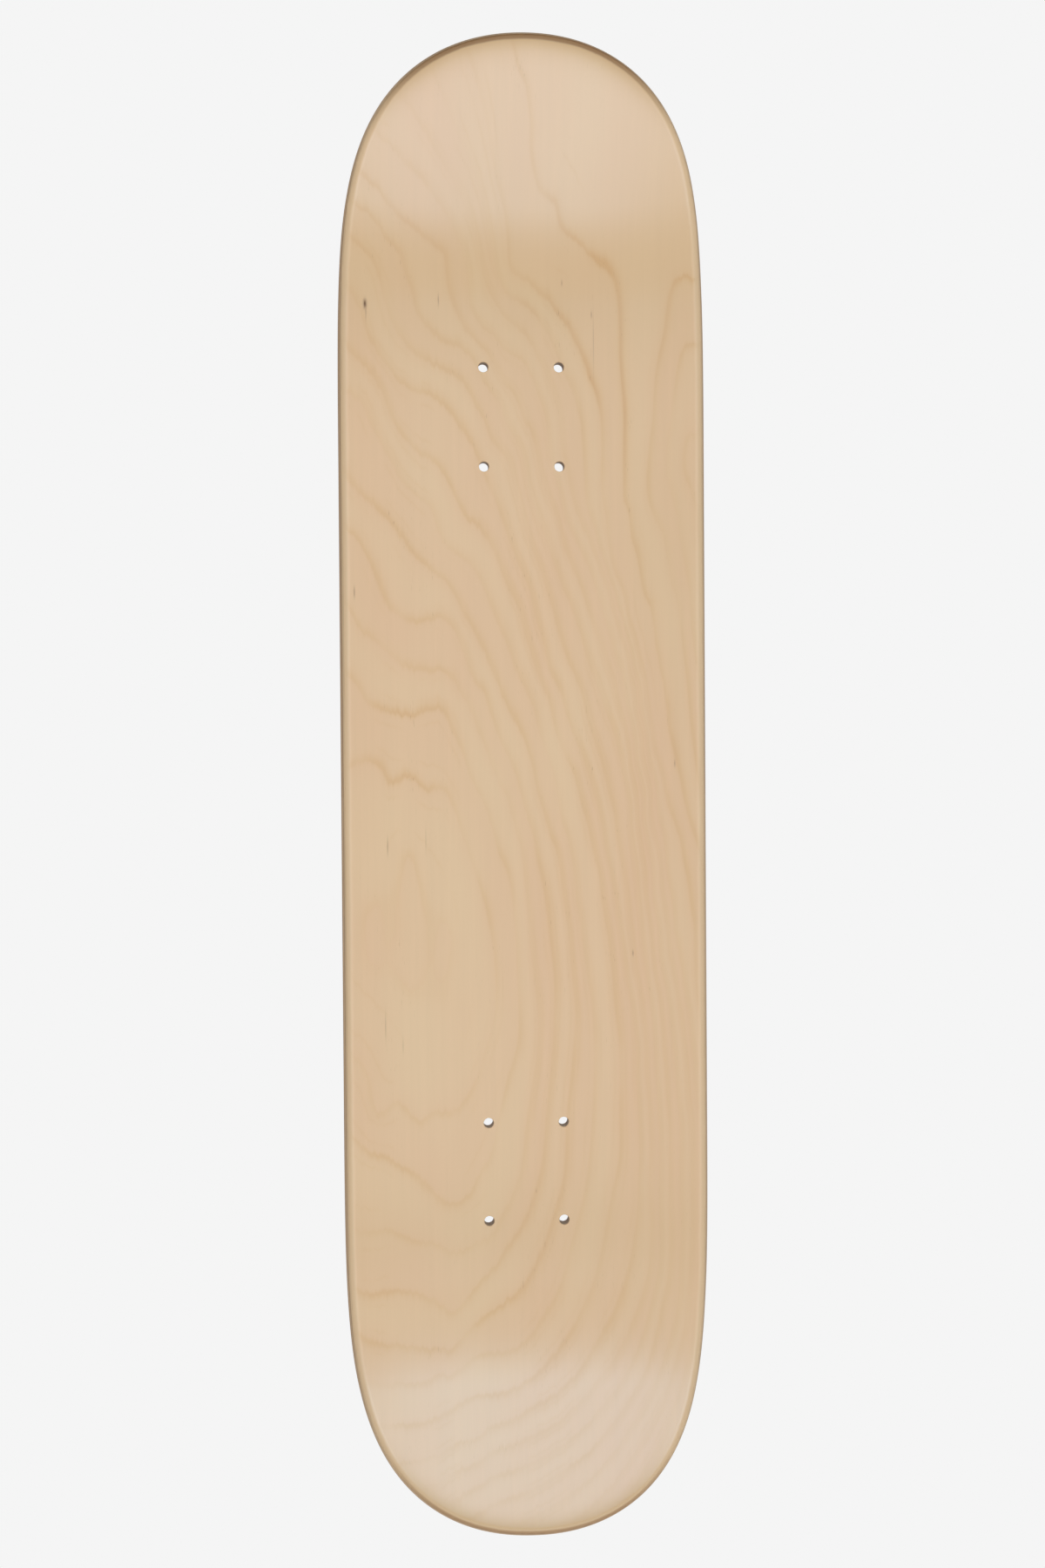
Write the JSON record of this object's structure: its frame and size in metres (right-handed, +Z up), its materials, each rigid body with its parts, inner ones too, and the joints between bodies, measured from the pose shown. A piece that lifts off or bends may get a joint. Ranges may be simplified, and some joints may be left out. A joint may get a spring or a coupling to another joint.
{
  "type": "skateboard deck",
  "caption": "Pressed maple skateboard deck with a raised nose and tail, a concave standing face, rounded rails and drilled truck bolt patterns.",
  "frame": {"origin": "on the underside, in the middle of the flat, halfway between the two truck bolt patterns", "axes": "+Y along the board to the nose, +Z up out of the standing face, +X to the right of a board seen from above with the nose away"},
  "size_m": [0.1996, 0.8034, 0.0529],
  "materials": {
    "face_maple": "clear satin lacquer over sanded maple, grain along the board",
    "core_maple": "sanded and sealed maple edge, grain along the board",
    "crossband_maple": "sanded and sealed end grain, grain across the board"
  },
  "bodies": {
    "root": {"bottom_face_veneer": "face_maple", "lower_core_veneer": "core_maple", "lower_crossband_veneer": "crossband_maple", "centre_core_veneer": "core_maple", "upper_crossband_veneer": "crossband_maple", "upper_core_veneer": "core_maple", "top_face_veneer": "face_maple"}
  },
  "joints": []
}
